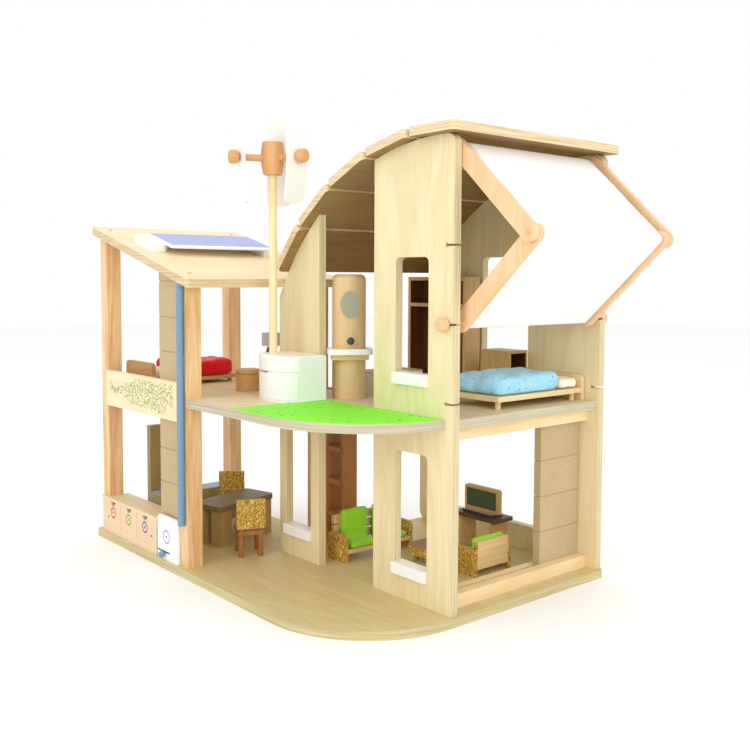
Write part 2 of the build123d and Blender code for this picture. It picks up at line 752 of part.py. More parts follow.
# ---------------------------------------------------------------- bedrooms
left_bed = (-645, -552, -122, 30)
left_bed_top = storey + 12
with BuildPart() as bed_left:
    block(*left_bed, left_bed_top - 6, left_bed_top)
    feet(*left_bed, 4, storey, left_bed_top - 6, 9)
    front_profile(left_bed[0], left_bed[1], left_bed[2] - 7, left_bed[2], storey, storey + 39, 8)
keep(bed_left, "bed_left")

with BuildPart() as duvet_left:
    pad(left_bed[0] + 2, left_bed[1] - 2, -78, 27, left_bed_top + 0.3, left_bed_top + 27, 10, 9)
keep(duvet_left, "duvet_left")

right_bed = (-124, -25, 112, 292)
right_bed_top = storey + 18
with BuildPart() as bed_right:
    block(*right_bed, right_bed_top - 7, right_bed_top)
    feet(*right_bed, 4, storey, right_bed_top - 7, 10)
    front_profile(right_bed[0], right_bed[1], right_bed[3], right_bed[3] + 7, storey, storey + 37, 8)
keep(bed_right, "bed_right")

with BuildPart() as duvet_right:
    pad(right_bed[0] + 2, right_bed[1] - 2, 117, 246, right_bed_top + 0.3, right_bed_top + 25, 10, 9)
keep(duvet_right, "duvet_right")

with BuildPart() as pillows:
    for x0, x1, y0, y1, z0 in (
        (left_bed[0] + 18, left_bed[1] - 18, -120, -80, left_bed_top + 0.3),
        (right_bed[0] + 3, right_bed[0] + 46, 250, 289, right_bed_top + 0.3),
        (right_bed[1] - 46, right_bed[1] - 3, 250, 289, right_bed_top + 0.3),
    ):
        pad(x0, x1, y0, y1, z0, z0 + 15, 8, 6)
keep(pillows, "pillows")

stool_seat = (-430, -25)
lamp_stool = (-450, 32)
lamp_floor = storey + 45
with BuildPart() as stools:
    rod_z(*stool_seat, 19, storey, storey + 34)
    fillet(stools.faces().sort_by(Axis.Z)[-1].edges(), 3)
    rod_z(*lamp_stool, 19, lamp_floor - 6, lamp_floor)
    for angle in (45, 135, 225, 315):
        rod_z(lamp_stool[0] + 13 * cos(radians(angle)), lamp_stool[1] + 13 * sin(radians(angle)), 3.5,
              storey, lamp_floor - 6)
keep(stools, "stools")

with BuildPart() as lamp:
    with Locations((*lamp_stool, lamp_floor + 10)):
        Cone(12, 6, 20)
    rod_z(*lamp_stool, 2.5, lamp_floor + 20, lamp_floor + 24)
    rod_z(*lamp_stool, 15, lamp_floor + 22, lamp_floor + 43)
keep(lamp, "lamp")

with BuildPart() as wardrobe:
    block(-370, -233, 262, 296, storey, storey + 180)
    block(-364, -239, 261, 290, storey + 6, storey + 130, Mode.SUBTRACT)
    block(-364, -239, 261, 290, storey + 136, storey + 174, Mode.SUBTRACT)
    block(-187, -128, 250, 292, storey, storey + 67)
    block(-183, -127, 254, 288, storey + 4, storey + 63, Mode.SUBTRACT)
keep(wardrobe, "wardrobe")


# ---------------------------------------------------------------- bathroom
wash_frame = Location((-264, 46, storey), (0, 0, -34))
wash_column = 25              # radius of the round column
basin_z = (66, 74)


def wash_face(reach):
    """Upright plane at a distance in front of the column's axis."""
    plane = Plane(wash_frame)
    return Plane(origin=plane.from_local_coords((reach, 0, 0)), x_dir=plane.y_dir, z_dir=plane.x_dir)


with BuildPart() as wash_stand:
    local_leg(wash_frame, 0, 0, wash_column, 0, 183)
    fillet(wash_stand.faces().sort_by(Axis.Z)[-1].edges(), 8)
    local_block(wash_frame, 0, 31, -27, 27, basin_z[0] - 8, basin_z[0])
    with BuildSketch(wash_face(18)):
        with Locations((0, 139)):
            Ellipse(14, 20)
    extrude(amount=8)
    with BuildSketch(wash_face(20)):
        with Locations((0, 86)):
            Circle(2)
    extrude(amount=12)
    with Locations(wash_frame * Location((34, 0, 86))):
        Sphere(5.5)
keep(wash_stand, "wash_stand")

with BuildPart() as bath_basin:
    rounded_slab(-300, -240, 86, 180, storey, storey + 35, 10)
    block(-291, -249, 95, 171, storey + 9, storey + 36, Mode.SUBTRACT)
    with BuildSketch(Plane(wash_frame).offset(basin_z[0])):
        with Locations((14, 0)):
            RectangleRounded(48, 66, 11)
        with Locations((0, 0)):
            Circle(wash_column, mode=Mode.SUBTRACT)
    extrude(amount=basin_z[1] - basin_z[0])
    with BuildSketch(Plane(wash_frame).offset(basin_z[0] + 4)):
        with Locations((31, 0)):
            Ellipse(5, 17)
    extrude(amount=5, mode=Mode.SUBTRACT)
keep(bath_basin, "bath_basin")


# ---------------------------------------------------------------- living room
sofa_box = (-300, -258, 35, 172)
with BuildPart() as sofa:
    for y in (sofa_box[2], sofa_box[3] - 6):
        front_profile(sofa_box[0], sofa_box[1], y, y + 6, ground, ground + 42, 7)
    block(sofa_box[0] + 6, sofa_box[1], sofa_box[2] + 6, sofa_box[3] - 6, ground + 13, ground + 19)
    for z in (25, 40, 55):
        block(sofa_box[0], sofa_box[0] + 6, sofa_box[2] + 6, sofa_box[3] - 6, ground + z - 3, ground + z + 9)
    for y in (sofa_box[2] + 14, sofa_box[3] - 22):
        block(sofa_box[0] + 6, sofa_box[0] + 10, y, y + 8, ground + 13, ground + 64)
keep(sofa, "sofa")

armchair_box = (-136, -88, 136, 213)
with BuildPart() as armchair:
    for y in (armchair_box[2], armchair_box[3] - 6):
        front_profile(armchair_box[0], armchair_box[1], y, y + 6, ground, ground + 40, 7)
    block(armchair_box[0], armchair_box[1] - 6, armchair_box[2] + 6, armchair_box[3] - 6, ground + 12, ground + 18)
    block(armchair_box[1] - 6, armchair_box[1], armchair_box[2] + 6, armchair_box[3] - 6, ground + 10, ground + 50)
    for z in (23, 36):
        block(armchair_box[1] - 0.8, armchair_box[1] + 1, armchair_box[2] + 6, armchair_box[3] - 6,
              ground + z, ground + z + 1.2, Mode.SUBTRACT)
keep(armchair, "armchair")

with BuildPart() as cushions:
    for y0 in (sofa_box[2] + 13, sofa_box[2] + 75):
        y1 = y0 + 50
        pad(sofa_box[0] + 10.4, sofa_box[1] + 2, y0, y1, ground + 19.3, ground + 29, 5, 4)
        pad(sofa_box[0] + 10.4, sofa_box[0] + 20, y0, y1, ground + 29.4, ground + 74, 4, 4)
    pad(armchair_box[0] + 2, armchair_box[1] - 7, armchair_box[2] + 7, armchair_box[3] - 7,
        ground + 18.3, ground + 28, 5, 4)
    pad(armchair_box[1] - 16, armchair_box[1] - 6.4, armchair_box[2] + 7, armchair_box[3] - 7,
        ground + 28.4, ground + 54, 4, 4)
keep(cushions, "cushions")

with BuildPart() as coffee_table:
    rounded_slab(-215, -167, 117, 175, ground + 12, ground + 26, 12)
    feet(-215, -167, 117, 175, 4, ground, ground + 12, 12)
keep(coffee_table, "coffee_table")

tv_table = (-216, -129, 222, 264)
with BuildPart() as tv_stand:
    block(*tv_table, ground + 54, ground + 60)
    for x in (tv_table[0] + 8, tv_table[1] - 14):
        block(x, x + 6, tv_table[2] + 5, tv_table[3] - 5, ground, ground + 54)
keep(tv_stand, "tv_stand")

with BuildPart() as tv:
    block(-204, -142, 230, 254, ground + 60, ground + 64)
    front_profile(-208, -137, 239, 247, ground + 64, ground + 102, 4)
    block(-203, -142, 238, 240, ground + 69, ground + 97, Mode.SUBTRACT)
keep(tv, "tv")

ladder_x = (-374, -330)
ladder_y = (90, 116)
ladder_board = 6
with BuildPart() as ladder:
    for x in (ladder_x[0], ladder_x[1] - ladder_board):
        block(x, x + ladder_board, *ladder_y, ground, storey)
    for z in (44, 97, 150, 203):
        block(ladder_x[0] + ladder_board, ladder_x[1] - ladder_board, ladder_y[0] - 4, ladder_y[1] - 4,
              ground + z, ground + z + 8)
keep(ladder, "ladder")


# ---------------------------------------------------------------- kitchen and dining
with BuildPart() as kitchen:
    block(-640, -628, -95, -4, ground, ground + 175)
    block(-628, -592, -95, 52, ground, ground + 61)
    block(-622, -591, -91, -30, ground + 5, ground + 55, Mode.SUBTRACT)
    rod_x(-10, ground + 152, 2, -628, -622)
    with Locations((-619, -8, ground + 152)):
        Sphere(6)
keep(kitchen, "kitchen")

table_frame = Location((-487, -17, ground), (0, 0, 14))
with BuildPart() as dining_table:
    with BuildSketch(Plane(table_frame).offset(58)):
        RectangleRounded(64, 126, 7)
    extrude(amount=8)
    for x in (-18, 18):
        for y in (-47, 47):
            local_block(table_frame, x - 11, x + 11, y - 12, y + 12, 0, 58)
keep(dining_table, "dining_table")

chair_frames = (
    Location((-396, -46, ground), (0, 0, -24)),
    Location((-558, 21, ground), (0, 0, 145)),
)
with BuildPart() as dining_chairs:
    for frame in chair_frames:
        local_block(frame, -22, 22, -20, 20, 34, 40)
        local_block(frame, 17, 23, -22, 22, 44, 89)
        for y in (-15, 15):
            local_leg(frame, -17, y, 4, 0, 34)
            local_leg(frame, 18, y, 4, 0, 54)
keep(dining_chairs, "dining_chairs")
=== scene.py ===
import bpy
import json
import math
from mathutils import Matrix, Vector, noise


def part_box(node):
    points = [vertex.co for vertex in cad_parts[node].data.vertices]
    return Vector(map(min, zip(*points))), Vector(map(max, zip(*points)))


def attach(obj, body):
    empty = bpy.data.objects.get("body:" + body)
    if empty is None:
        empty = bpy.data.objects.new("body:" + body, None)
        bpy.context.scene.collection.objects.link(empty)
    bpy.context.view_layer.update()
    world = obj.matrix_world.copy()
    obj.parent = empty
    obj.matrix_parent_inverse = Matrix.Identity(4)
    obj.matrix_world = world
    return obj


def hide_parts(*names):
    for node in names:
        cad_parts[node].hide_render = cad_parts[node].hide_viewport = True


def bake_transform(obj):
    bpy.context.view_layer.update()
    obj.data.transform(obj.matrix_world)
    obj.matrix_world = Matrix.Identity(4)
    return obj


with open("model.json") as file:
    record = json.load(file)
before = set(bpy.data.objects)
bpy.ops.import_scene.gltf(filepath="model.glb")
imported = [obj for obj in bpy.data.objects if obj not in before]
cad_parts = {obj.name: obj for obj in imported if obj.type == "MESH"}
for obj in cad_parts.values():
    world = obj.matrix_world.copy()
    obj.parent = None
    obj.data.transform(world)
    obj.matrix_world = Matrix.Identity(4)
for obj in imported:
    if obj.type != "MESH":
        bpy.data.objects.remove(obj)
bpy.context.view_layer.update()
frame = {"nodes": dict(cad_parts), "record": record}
nodes = frame["nodes"]

GROUND = 0.012                # top of the base board
STOREY = 0.262                # top of the upper floor


# ---------------------------------------------------------------- node helpers
def rgb(r, g, b):
    """Linear colour of an sRGB colour given as 0 to 255."""
    line = [c / 255 / 12.92 if c <= 10 else ((c / 255 + 0.055) / 1.055) ** 2.4 for c in (r, g, b)]
    return (*line, 1.0)


class Paint:
    """A node material built up step by step."""

    def __init__(self, name, roughness=0.5, specular=0.35, metallic=0.0):
        self.mat = bpy.data.materials.new(name)
        self.mat.use_nodes = True
        self.nt = self.mat.node_tree
        self.bsdf = self.nt.nodes["Principled BSDF"]
        self.bsdf.inputs["Roughness"].default_value = roughness
        self.bsdf.inputs["Specular IOR Level"].default_value = specular
        self.bsdf.inputs["Metallic"].default_value = metallic
        coord = self.nt.nodes.new("ShaderNodeTexCoord")
        self.place = coord.outputs["Object"]
        self.x, self.y, self.z = self.split(self.place)

    def put(self, socket, value):
        if isinstance(value, bpy.types.NodeSocket):
            self.nt.links.new(value, socket)
        else:
            socket.default_value = value

    def split(self, vector):
        n = self.nt.nodes.new("ShaderNodeSeparateXYZ")
        self.put(n.inputs[0], vector)
        return n.outputs[0], n.outputs[1], n.outputs[2]

    def calc(self, op, a, b=0.0):
        n = self.nt.nodes.new("ShaderNodeMath")
        n.operation = op
        self.put(n.inputs[0], a)
        self.put(n.inputs[1], b)
        return n.outputs[0]

    def mapped(self, scale, rotation=(0, 0, 0)):
        n = self.nt.nodes.new("ShaderNodeMapping")
        n.inputs["Scale"].default_value = scale
        n.inputs["Rotation"].default_value = rotation
        self.put(n.inputs["Vector"], self.place)
        return n.outputs[0]

    def turned(self, scale, rotation):
        """Coordinates turned first and stretched after, so that marks lie along the turn."""
        n = self.nt.nodes.new("ShaderNodeMapping")
        n.inputs["Rotation"].default_value = rotation
        self.put(n.inputs["Vector"], self.place)
        m = self.nt.nodes.new("ShaderNodeMapping")
        m.inputs["Scale"].default_value = scale
        self.put(m.inputs["Vector"], n.outputs[0])
        return m.outputs[0]

    def noise(self, vector, detail=3.0, distortion=0.0, scale=1.0):
        n = self.nt.nodes.new("ShaderNodeTexNoise")
        n.inputs["Scale"].default_value = scale
        n.inputs["Detail"].default_value = detail
        n.inputs["Distortion"].default_value = distortion
        self.put(n.inputs["Vector"], vector)
        return n.outputs["Fac"]

    def cells(self, vector, what="Distance"):
        n = self.nt.nodes.new("ShaderNodeTexVoronoi")
        n.inputs["Scale"].default_value = 1.0
        self.put(n.inputs["Vector"], vector)
        return n.outputs[what]

    def span(self, value, lo, hi, to_lo=0.0, to_hi=1.0):
        n = self.nt.nodes.new("ShaderNodeMapRange")
        self.put(n.inputs["Value"], value)
        n.inputs["From Min"].default_value = lo
        n.inputs["From Max"].default_value = hi
        n.inputs["To Min"].default_value = to_lo
        n.inputs["To Max"].default_value = to_hi
        return n.outputs[0]

    def mix(self, factor, a, b):
        n = self.nt.nodes.new("ShaderNodeMix")
        n.data_type = "RGBA"
        self.put(n.inputs[0], factor)
        self.put(n.inputs[6], a)
        self.put(n.inputs[7], b)
        return n.outputs[2]

    def within(self, value, lo, hi):
        """1 where value lies between lo and hi."""
        above = self.calc("GREATER_THAN", value, lo)
        painted_shade_wood = self.calc("LESS_THAN", value, hi)
        return self.calc("MULTIPLY", above, painted_shade_wood)

    def zone(self, x=None, y=None, z=None):
        """1 inside a box; an axis left out isn't tested."""
        total = None
        for value, limits in ((self.x, x), (self.y, y), (self.z, z)):
            if limits is None:
                continue
            inside = self.within(value, *limits)
            total = inside if total is None else self.calc("MULTIPLY", total, inside)
        return total

    def far(self, a, a0, b, b0):
        """Distance in a plane from the point a0, b0."""
        da = self.calc("SUBTRACT", a, a0)
        db = self.calc("SUBTRACT", b, b0)
        squares = [self.calc("MULTIPLY", d, d) for d in (da, db)]
        return self.calc("SQRT", self.calc("ADD", *squares))

    def facing(self, axis):
        """1 where the surface faces along the axis, either way."""
        n = self.nt.nodes.new("ShaderNodeNewGeometry")
        part = self.split(n.outputs["True Normal"])[axis]
        return self.calc("GREATER_THAN", self.calc("ABSOLUTE", part), 0.6)

    def bump(self, height, strength, distance=0.0004):
        n = self.nt.nodes.new("ShaderNodeBump")
        n.inputs["Strength"].default_value = strength
        n.inputs["Distance"].default_value = distance
        self.put(n.inputs["Height"], height)
        self.put(self.bsdf.inputs["Normal"], n.outputs[0])

    def colour(self, value):
        self.put(self.bsdf.inputs["Base Color"], value)
        return self.mat


def along(axis, run, across):
    """Scale that stretches a texture along one axis."""
    scale = [across, across, across]
    scale[axis] = run
    return tuple(scale)


def grain(p, light, dark, axis, strength=1.0, shift=0.0):
    """Wood figure: slow rings and fine fibres along one axis."""
    slow = p.noise(p.mapped(along(axis, 2.0, 17.0)), 3.0, 1.3)
    rings = p.calc("PINGPONG", p.calc("ADD", p.calc("MULTIPLY", slow, 9.0), shift), 1.0)
    fibres = p.noise(p.mapped(along(axis, 22.0, 620.0)), 4.0, 0.2)
    tone = p.noise(p.mapped(along(axis, 1.0, 5.0)), 1.0)
    figure = p.calc("MULTIPLY", rings, 0.36)
    lines = p.calc("MULTIPLY", p.span(fibres, 0.3, 0.72), 0.40)
    mixed = p.calc("ADD", figure, lines)
    mixed = p.calc("ADD", mixed, p.calc("MULTIPLY", tone, 0.26))
    p.bump(fibres, 0.12)
    return p.mix(p.calc("MULTIPLY", mixed, strength), light, dark)


def timber(name, light, dark, axis, strength=1.0, roughness=0.48, shift=0.0):
    p = Paint(name, roughness)
    return p.colour(grain(p, light, dark, axis, strength, shift))


def layered(p, light, dark, axis):
    """The edge of a ply board, layered through its thickness."""
    layers = p.noise(p.mapped(along(axis, 900.0, 9.0)), 2.0)
    return p.mix(p.span(layers, 0.35, 0.65), light, dark)


def board(name, light, dark, axis, thickness_axis, edge_light, edge_dark, strength=1.0, shift=0.0):
    """Ply board: figured faces and layered edges."""
    p = Paint(name, 0.5)
    face = grain(p, light, dark, axis, strength, shift)
    edge = layered(p, edge_light, edge_dark, thickness_axis)
    return p.colour(p.mix(p.facing(thickness_axis), edge, face))


def strands(p):
    """Pressed wood strands lying in all directions."""
    gold = rgb(222, 182, 74)
    result = rgb(150, 104, 28)
    for number, turn in enumerate((0.3, 1.25, 2.2, 2.9)):
        vector = p.turned((260, 1000, 1000), (turn, turn * 1.7, turn * 2.3))
        colour = p.split(p.cells(vector, "Color"))
        tone = p.mix(colour[1], rgb(128, 84, 20), gold)
        tone = p.mix(p.calc("GREATER_THAN", colour[2], 0.86), tone, rgb(244, 216, 128))
        result = p.mix(p.calc("GREATER_THAN", colour[0], 0.42), result, tone)
    return result


def coat(name, material):
    nodes[name].data.materials.clear()
    nodes[name].data.materials.append(material)


# ---------------------------------------------------------------- finishes
WALL = (rgb(242, 228, 186), rgb(208, 186, 134))
EDGE = (rgb(226, 212, 172), rgb(196, 178, 132))
wall = board("wall ply", *WALL, 2, 1, *EDGE, 0.75)
base = board(
    "base ply",
    rgb(220, 202, 150), rgb(184, 164, 110), 0, 2,
    rgb(212, 198, 152), rgb(184, 166, 118), 0.7,
)
floor = board(
    "floor ply",
    rgb(232, 216, 182), rgb(198, 176, 134), 0, 2,
    rgb(206, 199, 172), rgb(178, 168, 138), 0.7,
)
post_wood = timber("post wood", rgb(250, 222, 176), rgb(206, 150, 88), 2, 1.1)
roof_wood = board(
    "roof wood",
    rgb(250, 232, 196), rgb(224, 196, 150), 1, 2,
    rgb(226, 204, 168), rgb(200, 172, 128), 0.8,
)
arm_wood = timber("arm wood", rgb(246, 208, 164), rgb(220, 172, 122), 2, 0.8)
turned = timber("turned wood", rgb(226, 172, 118), rgb(196, 132, 78), 2, 0.8, 0.4)
pale_rod = timber("pale rod", rgb(248, 226, 176), rgb(226, 194, 138), 2, 0.7)

coat("base_board", base)
coat("upper_floor", floor)
for name in ("tall_front_wall", "mid_front_wall", "back_wall"):
    coat(name, wall)
coat("posts", post_wood)
coat("dowel_pins", turned)
coat("left_roof", roof_wood)


def slat_finish(number):
    """Ply slat whose under-face is painted darker brown as painted shade."""
    p = Paint(f"slat wood {number}", 0.5)
    face = grain(p, rgb(228, 206, 164), rgb(196, 166, 118), 1, 0.8, number * 0.37)
    edge = layered(p, rgb(236, 216, 176), rgb(206, 180, 134), 2)
    # Faces turned downwards are painted a darker brown: painted shade on the slat undersides, not a
    # different wood.
    n = p.nt.nodes.new("ShaderNodeNewGeometry")
    under = p.calc("LESS_THAN", p.split(n.outputs["True Normal"])[2], -0.3)
    painted_shade_wood = grain(p, rgb(166, 132, 82), rgb(126, 92, 48), 1, 0.8, number * 0.37)
    return p.colour(p.mix(under, p.mix(p.facing(2), edge, face), painted_shade_wood))


for number in range(1, 6):
    coat(f"roof_slat_{number}", slat_finish(number))
for name in ("upper_arms", "lower_arms"):
    coat(name, arm_wood)
for name in ("rotor_hub", "rotor_pegs"):
    coat(name, turned)
coat("turbine_pole", pale_rod)
rod_wood = timber("rod wood", rgb(236, 190, 138), rgb(206, 150, 96), 1, 0.7, 0.4)
for name in ("upper_rods", "bottom_rod"):
    coat(name, rod_wood)


def fibreboard(name, light, dark):
    p = Paint(name, 0.75, 0.2)
    speck = p.noise(p.place, 2.0, 0.0, 900.0)
    cloud = p.noise(p.place, 2.0, 0.0, 14.0)
    both = p.calc("ADD", p.calc("MULTIPLY", p.span(speck, 0.35, 0.68), 0.6), p.calc("MULTIPLY", cloud, 0.4))
    p.bump(speck, 0.15)
    return p.colour(p.mix(both, light, dark))


raw_board = fibreboard("fibreboard", rgb(208, 188, 150), rgb(178, 152, 112))
coat("left_panels", raw_board)
coat("sliding_panel", raw_board)
coat("side_tracks", timber("track wood", rgb(250, 226, 178), rgb(224, 188, 134), 1, 0.8))


def clamp_finish(name):
    p = Paint(name, 0.4)
    wood = grain(p, rgb(240, 196, 146), rgb(212, 158, 104), 1, 0.7)
    box = [(a + b) / 2 for a, b in zip(*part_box(name))]
    screw = p.calc("LESS_THAN", p.far(p.x, box[0], p.z, box[2]), 0.0016)
    p.put(p.bsdf.inputs["Metallic"], screw)
    return p.colour(p.mix(screw, wood, rgb(190, 192, 196)))


for name in ("clamp_front", "clamp_back"):
    coat(name, clamp_finish(name))


def white_paint(name):
    p = Paint(name, 0.38, 0.45)
    cloud = p.noise(p.place, 2.0, 0.0, 30.0)
    return p, p.mix(cloud, rgb(250, 250, 247), rgb(240, 240, 235))


def plain_white():
    p, colour = white_paint("white paint")
    return p.colour(colour)


white = plain_white()
for name in ("planters", "rotor_blades"):
    coat(name, white)


# ---------------------------------------------------------------- printed and two-finish pieces
def barrel_finish():
    p, colour = white_paint("barrel paint")
    low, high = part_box("rain_barrel")
    middle = low[0] + 0.030
    front = p.facing(1)
    away = p.far(p.x, middle, p.z, low[2] + 0.036)
    ring = p.calc("ADD", p.within(away, 0.0085, 0.0105), p.calc("LESS_THAN", away, 0.0022))
    ring = p.calc("MULTIPLY", p.calc("MINIMUM", ring, 1.0), front)
    colour = p.mix(ring, colour, rgb(70, 120, 200))
    stripe = p.zone((low[0] - 1, low[0] + 0.040), None, (low[2] + 0.011, low[2] + 0.0135))
    stripe = p.calc("MULTIPLY", stripe, front)
    return p.colour(p.mix(stripe, colour, rgb(44, 48, 112)))


def cabinet_finish(name):
    p, colour = white_paint(name + " paint")
    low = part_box("cabinet_body")[0]
    marks = None
    for height in (0.010, 0.034):
        z = STOREY + height
        mark = p.zone((low[0] + 0.006, low[0] + 0.0078), (-1, -0.05), (z - 0.0022, z + 0.0022))
        marks = mark if marks is None else p.calc("ADD", marks, mark)
    return p.colour(p.mix(marks, colour, rgb(40, 40, 42)))


def solar_finish():
    p, colour = white_paint("solar panel print")
    low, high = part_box("solar_panel")
    slope = p.calc("ADD", p.calc("MULTIPLY", p.x, 0.9655), p.calc("MULTIPLY", p.z, -0.2607))
    start = low[0] * 0.9655 - 0.500 * 0.2607
    s = p.calc("SUBTRACT", slope, start)
    t = p.calc("SUBTRACT", p.y, low[1])
    cells_s = p.calc("PINGPONG", s, 0.0042)
    cells_t = p.calc("PINGPONG", t, 0.0042)
    line = p.calc("MAXIMUM", p.calc("LESS_THAN", cells_s, 0.0006), p.calc("LESS_THAN", cells_t, 0.0006))
    blue = p.mix(line, rgb(118, 134, 204), rgb(214, 220, 242))
    n = p.nt.nodes.new("ShaderNodeNewGeometry")
    up = p.calc("GREATER_THAN", p.split(n.outputs["True Normal"])[2], 0.9)
    area = p.zone((low[0] + 0.003, high[0] - 0.013), (low[1] + 0.030, high[1] - 0.006), None)
    p.bsdf.inputs["Roughness"].default_value = 0.3
    return p.colour(p.mix(p.calc("MULTIPLY", up, area), colour, blue))


def leaf_finish():
    p = Paint("leaf print", 0.5)
    wood = grain(p, rgb(250, 230, 192), rgb(232, 204, 160), 0, 0.8)
    low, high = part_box("living_wall")
    width = high[0] - low[0]
    height = high[2] - low[2]
    u = p.calc("DIVIDE", p.calc("SUBTRACT", p.x, low[0]), width)
    v = p.calc("DIVIDE", p.calc("SUBTRACT", p.z, low[2]), height)
    drift = p.span(p.noise(p.mapped((26, 26, 26)), 2.0), 0.3, 0.7, -0.22, 0.22)
    reach = p.span(u, 0.04, 0.5, 0.05, 0.42)
    middle = p.calc("ADD", p.span(u, 0.0, 0.7, 0.52, 0.60), drift)
    band = p.calc("LESS_THAN", p.calc("ABSOLUTE", p.calc("SUBTRACT", v, middle)), reach)
    inside = p.calc("MULTIPLY", p.within(u, 0.05, 0.95), p.within(v, 0.10, 0.92))
    leaves = None
    for turn in (0.7, -0.6, 2.2):
        spot = p.calc("LESS_THAN", p.cells(p.turned((150, 1, 400), (0, turn, 0))), 0.30)
        leaves = spot if leaves is None else p.calc("MAXIMUM", leaves, spot)
    green = p.mix(p.noise(p.place, 1.0, 0.0, 160.0), rgb(30, 108, 22), rgb(124, 186, 52))
    mask = p.calc("MULTIPLY", p.calc("MULTIPLY", band, inside), p.calc("MULTIPLY", leaves, p.facing(1)))
    return p.colour(p.mix(mask, wood, green))


def bin_finish():
    p = Paint("bin print", 0.5)
    colour = grain(p, rgb(238, 210, 176), rgb(220, 184, 146), 0, 0.7)
    low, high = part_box("bin_front")
    skin = 0.0004
    front = p.calc("LESS_THAN", p.y, low[1] + skin)
    for x in (-0.600, -0.542):
        score = p.calc("MULTIPLY", p.zone((x - 0.0004, x + 0.0004), None, (low[2] + 0.012, 1)), front)
        colour = p.mix(score, colour, rgb(176, 132, 96))
    for x, tint in ((-0.629, rgb(206, 34, 34)), (-0.571, rgb(96, 160, 70)), (-0.514, rgb(44, 86, 150))):
        away = p.far(p.x, x, p.z, low[2] + 0.036)
        ring = p.calc("ADD", p.within(away, 0.0066, 0.0092), p.calc("LESS_THAN", away, 0.0022))
        colour = p.mix(p.calc("MULTIPLY", p.calc("MINIMUM", ring, 1.0), front), colour, tint)
    return p.colour(colour)


def lawn_finish():
    p = Paint("lawn print", 0.6)
    vector = p.mapped((36, 110, 0), (0, 0, 0.87))
    dash = p.calc("LESS_THAN", p.cells(vector), 0.14)
    colour = p.mix(p.noise(p.place, 2.0, 0.0, 18.0), rgb(128, 236, 44), rgb(142, 244, 60))
    return p.colour(p.mix(dash, colour, rgb(70, 150, 30)))


coat("rain_barrel", barrel_finish())
coat("cabinet_body", cabinet_finish("cabinet_body"))
coat("cabinet_door", cabinet_finish("cabinet_door"))
coat("solar_panel", solar_finish())
coat("living_wall", leaf_finish())
coat("bin_front", bin_finish())
coat("bin_box", timber("bin wood", rgb(240, 218, 176), rgb(216, 186, 138), 0, 0.8))
coat("lawn", lawn_finish())


def blue_finish():
    p = Paint("blue paint", 0.42)
    fibres = p.noise(p.mapped((300, 300, 14)), 3.0)
    return p.colour(p.mix(fibres, rgb(126, 160, 188), rgb(98, 136, 168)))


def nail_finish():
    p = Paint("brass", 0.3, 0.5, 1.0)
    return p.colour(p.mix(p.noise(p.place, 2.0, 0.0, 400.0), rgb(170, 130, 80), rgb(120, 86, 46)))


blue = blue_finish()
coat("downpipe", blue)
coat("barrel_tap", blue)
coat("brass_nails", nail_finish())


# ---------------------------------------------------------------- furniture finishes
def seat_finish(name):
    """Strand board at the two ends, pale wood between them."""
    p = Paint(name + " board", 0.5)
    low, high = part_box(name)
    pale = grain(p, rgb(238, 214, 160), rgb(206, 170, 112), 1, 0.8)
    ends = p.calc("SUBTRACT", 1.0, p.zone(None, (low[1] + 0.0061, high[1] - 0.0061), None))
    return p.colour(p.mix(ends, pale, strands(p)))


def chair_finish():
    p = Paint("chair board", 0.5)
    seat = grain(p, rgb(176, 118, 64), rgb(132, 82, 40), 0, 0.8)
    return p.colour(p.mix(p.calc("GREATER_THAN", p.z, GROUND + 0.0439), seat, strands(p)))


def two_finish(name, base_colours, axis, zones, roughness=0.45):
    """Wood with plain colours in some zones, each a finish of its own or painted shade."""
    p = Paint(name + " finish", roughness)
    colour = grain(p, *base_colours, axis, 0.8)
    for limits, tint in zones:
        colour = p.mix(p.zone(*limits), colour, tint)
    return p.colour(colour)


coat("sofa", seat_finish("sofa"))
coat("armchair", seat_finish("armchair"))
coat("dining_chairs", chair_finish())
pale = (rgb(246, 224, 176), rgb(216, 184, 130))
tan = (rgb(206, 164, 108), rgb(170, 122, 66))
coat("bed_left", two_finish("bed_left", tan, 0, []))
coat("bed_right", two_finish("bed_right", pale, 1, []))


def wash_stand_finish():
    """Round wooden column with a grey mirror and a dark tap standing out of it."""
    p = Paint("wash stand finish", 0.45)
    colour = grain(p, rgb(234, 202, 152), rgb(206, 166, 112), 2, 0.8)
    proud = p.calc("GREATER_THAN", p.far(p.x, -0.264, p.y, 0.046), 0.02505)
    for low, high, tint in ((0.117, 0.161, rgb(168, 166, 148)), (0.079, 0.093, rgb(62, 74, 86))):
        part = p.calc("MULTIPLY", proud, p.within(p.z, STOREY + low, STOREY + high))
        colour = p.mix(part, colour, tint)
    return p.colour(colour)


coat("wash_stand", wash_stand_finish())


def bath_finish():
    """White tub with a wooden rim."""
    p, colour = white_paint("bath paint")
    rim = p.zone((-0.301, -0.2395), None, (STOREY + 0.0335, STOREY + 0.036))
    return p.colour(p.mix(rim, colour, rgb(222, 188, 136)))


coat("bath_basin", bath_finish())
brown_pair = (rgb(172, 112, 62), rgb(122, 72, 34))
coat("wardrobe", two_finish("wardrobe", (rgb(214, 178, 120), rgb(180, 138, 80)), 2, [
    # First zone: the inner faces of the open cells painted dark brown as painted shade in the recess.
    # Second zone: the brown storage box.
    (((-0.3645, -0.2385), (0.2625, 0.2905), (STOREY + 0.0055, STOREY + 0.1745)), rgb(112, 66, 34)),
    (((-0.1835, -0.1285), (0.2535, 0.2885), (STOREY + 0.0035, STOREY + 0.0635)), rgb(96, 56, 28)),
]))
coat("stools", two_finish("stools", (rgb(222, 180, 116), rgb(190, 142, 82)), 0, [
    ((None, (0.005, 1), None), rgb(150, 92, 48)),
    ((None, (-1, 0.005), (STOREY + 0.0265, STOREY + 0.0275)), rgb(130, 88, 44)),
]))
coat("lamp", two_finish("lamp", brown_pair, 2, [((None, None, (STOREY + 0.0669, 1)), rgb(206, 210, 212))]))


